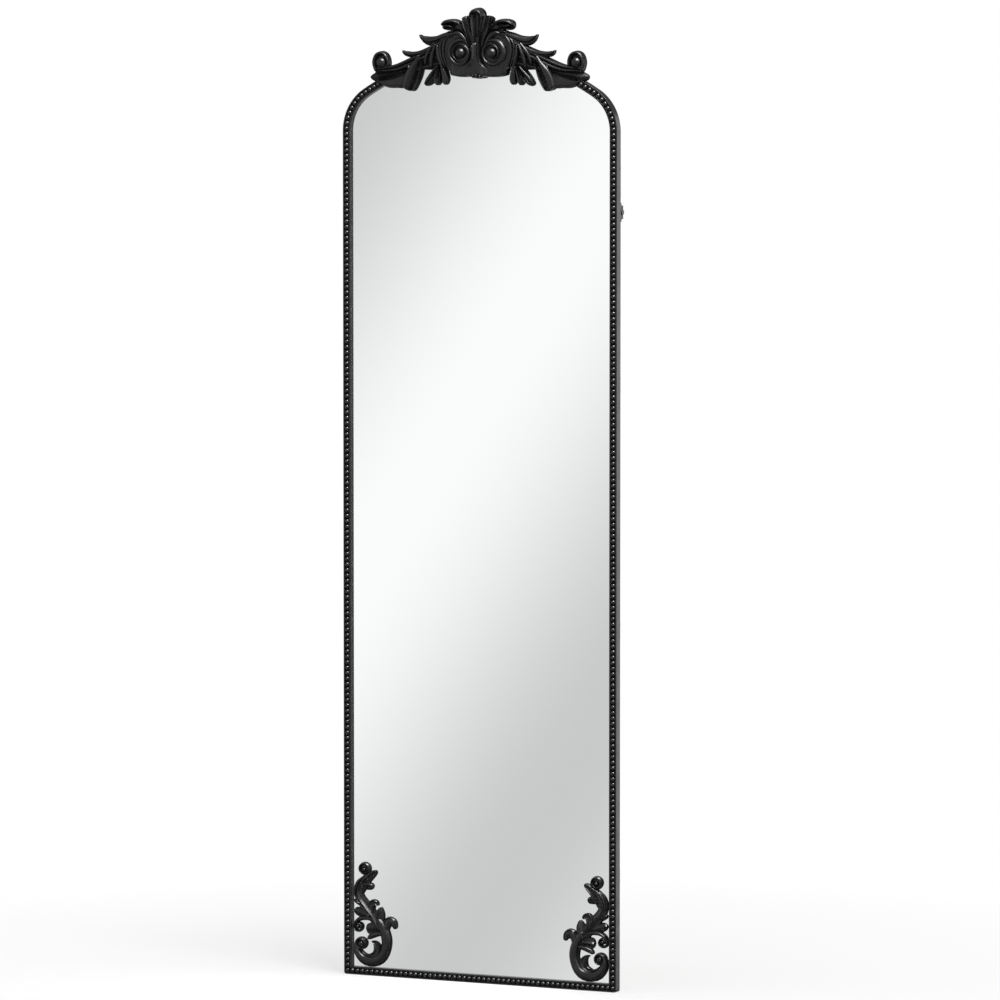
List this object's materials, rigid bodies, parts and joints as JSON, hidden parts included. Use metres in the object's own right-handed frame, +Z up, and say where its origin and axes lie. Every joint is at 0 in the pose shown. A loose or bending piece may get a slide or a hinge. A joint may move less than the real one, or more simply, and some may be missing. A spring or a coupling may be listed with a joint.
{
  "type": "floor mirror",
  "caption": "Tall arched floor mirror in a slim black beaded frame with a carved scroll crest, carved bottom corners and a folding stand behind it.",
  "frame": {"origin": "on the floor under the middle of the bottom rail, half way through the frame's depth", "axes": "+Z up along the mirror, +X to the right seen from the front, +Y out of the back"},
  "size_m": [0.5, 0.0479, 1.5989],
  "materials": {
    "frame_black": "satin black paint on an aluminium moulding",
    "bead_black": "glossy black beads",
    "carving_black": "semi-gloss black paint on cast resin",
    "mirror": "silvered float glass",
    "foam_white": "soft white foam",
    "board_brown": "plain fibreboard",
    "steel_zinc": "zinc plated",
    "steel_black": "steel blackened by plating",
    "stand_black": "black powder coat",
    "key_aluminium": "mill finish",
    "rubber_black": "matte",
    "pad_grey": "soft adhesive pad"
  },
  "bodies": {
    "mirror": {"left_stile": "frame_black", "right_stile": "frame_black", "bottom_rail": "frame_black", "top_arch": "frame_black", "corner_key_left": "key_aluminium", "corner_key_right": "key_aluminium", "splice_key_left": "key_aluminium", "splice_key_right": "key_aluminium", "joint_key_screws": "steel_zinc", "beading_left": "bead_black", "beading_right": "bead_black", "beading_bottom": "bead_black", "beading_shoulder_left": "bead_black", "beading_shoulder_right": "bead_black", "mirror_glass": "mirror", "backing_foam": "foam_white", "back_board": "board_brown", "setting_blocks": "rubber_black", "board_clips": "steel_zinc", "board_clip_screws": "steel_zinc", "hanger_plate_left": "steel_zinc", "hanger_plate_right": "steel_zinc", "hanger_screws": "steel_zinc", "stand_bracket_left": "stand_black", "stand_bracket_right": "stand_black", "bracket_nut_plates": "steel_zinc", "bracket_screws": "steel_black", "pivot_bolts": "steel_black", "pivot_washers": "steel_black", "pivot_nuts": "steel_black", "stand_bumpers": "rubber_black", "crest": "carving_black", "crest_screws": "steel_zinc", "corner_carving_left": "carving_black", "corner_carving_right": "carving_black", "corner_pads_left": "pad_grey", "corner_pads_right": "pad_grey"},
    "stand": {"stand_tube": "stand_black", "stand_knuckle_left": "stand_black", "stand_knuckle_right": "stand_black", "foot_sleeve_left": "rubber_black", "foot_sleeve_right": "rubber_black"}
  },
  "joints": [
    {"name": "stand_fold", "type": "hinge", "parent": "mirror", "child": "stand", "pos_m": [0, 0.0165, 1.2677], "axis": [1, 0, 0], "range_deg": [0, 17]}
  ]
}
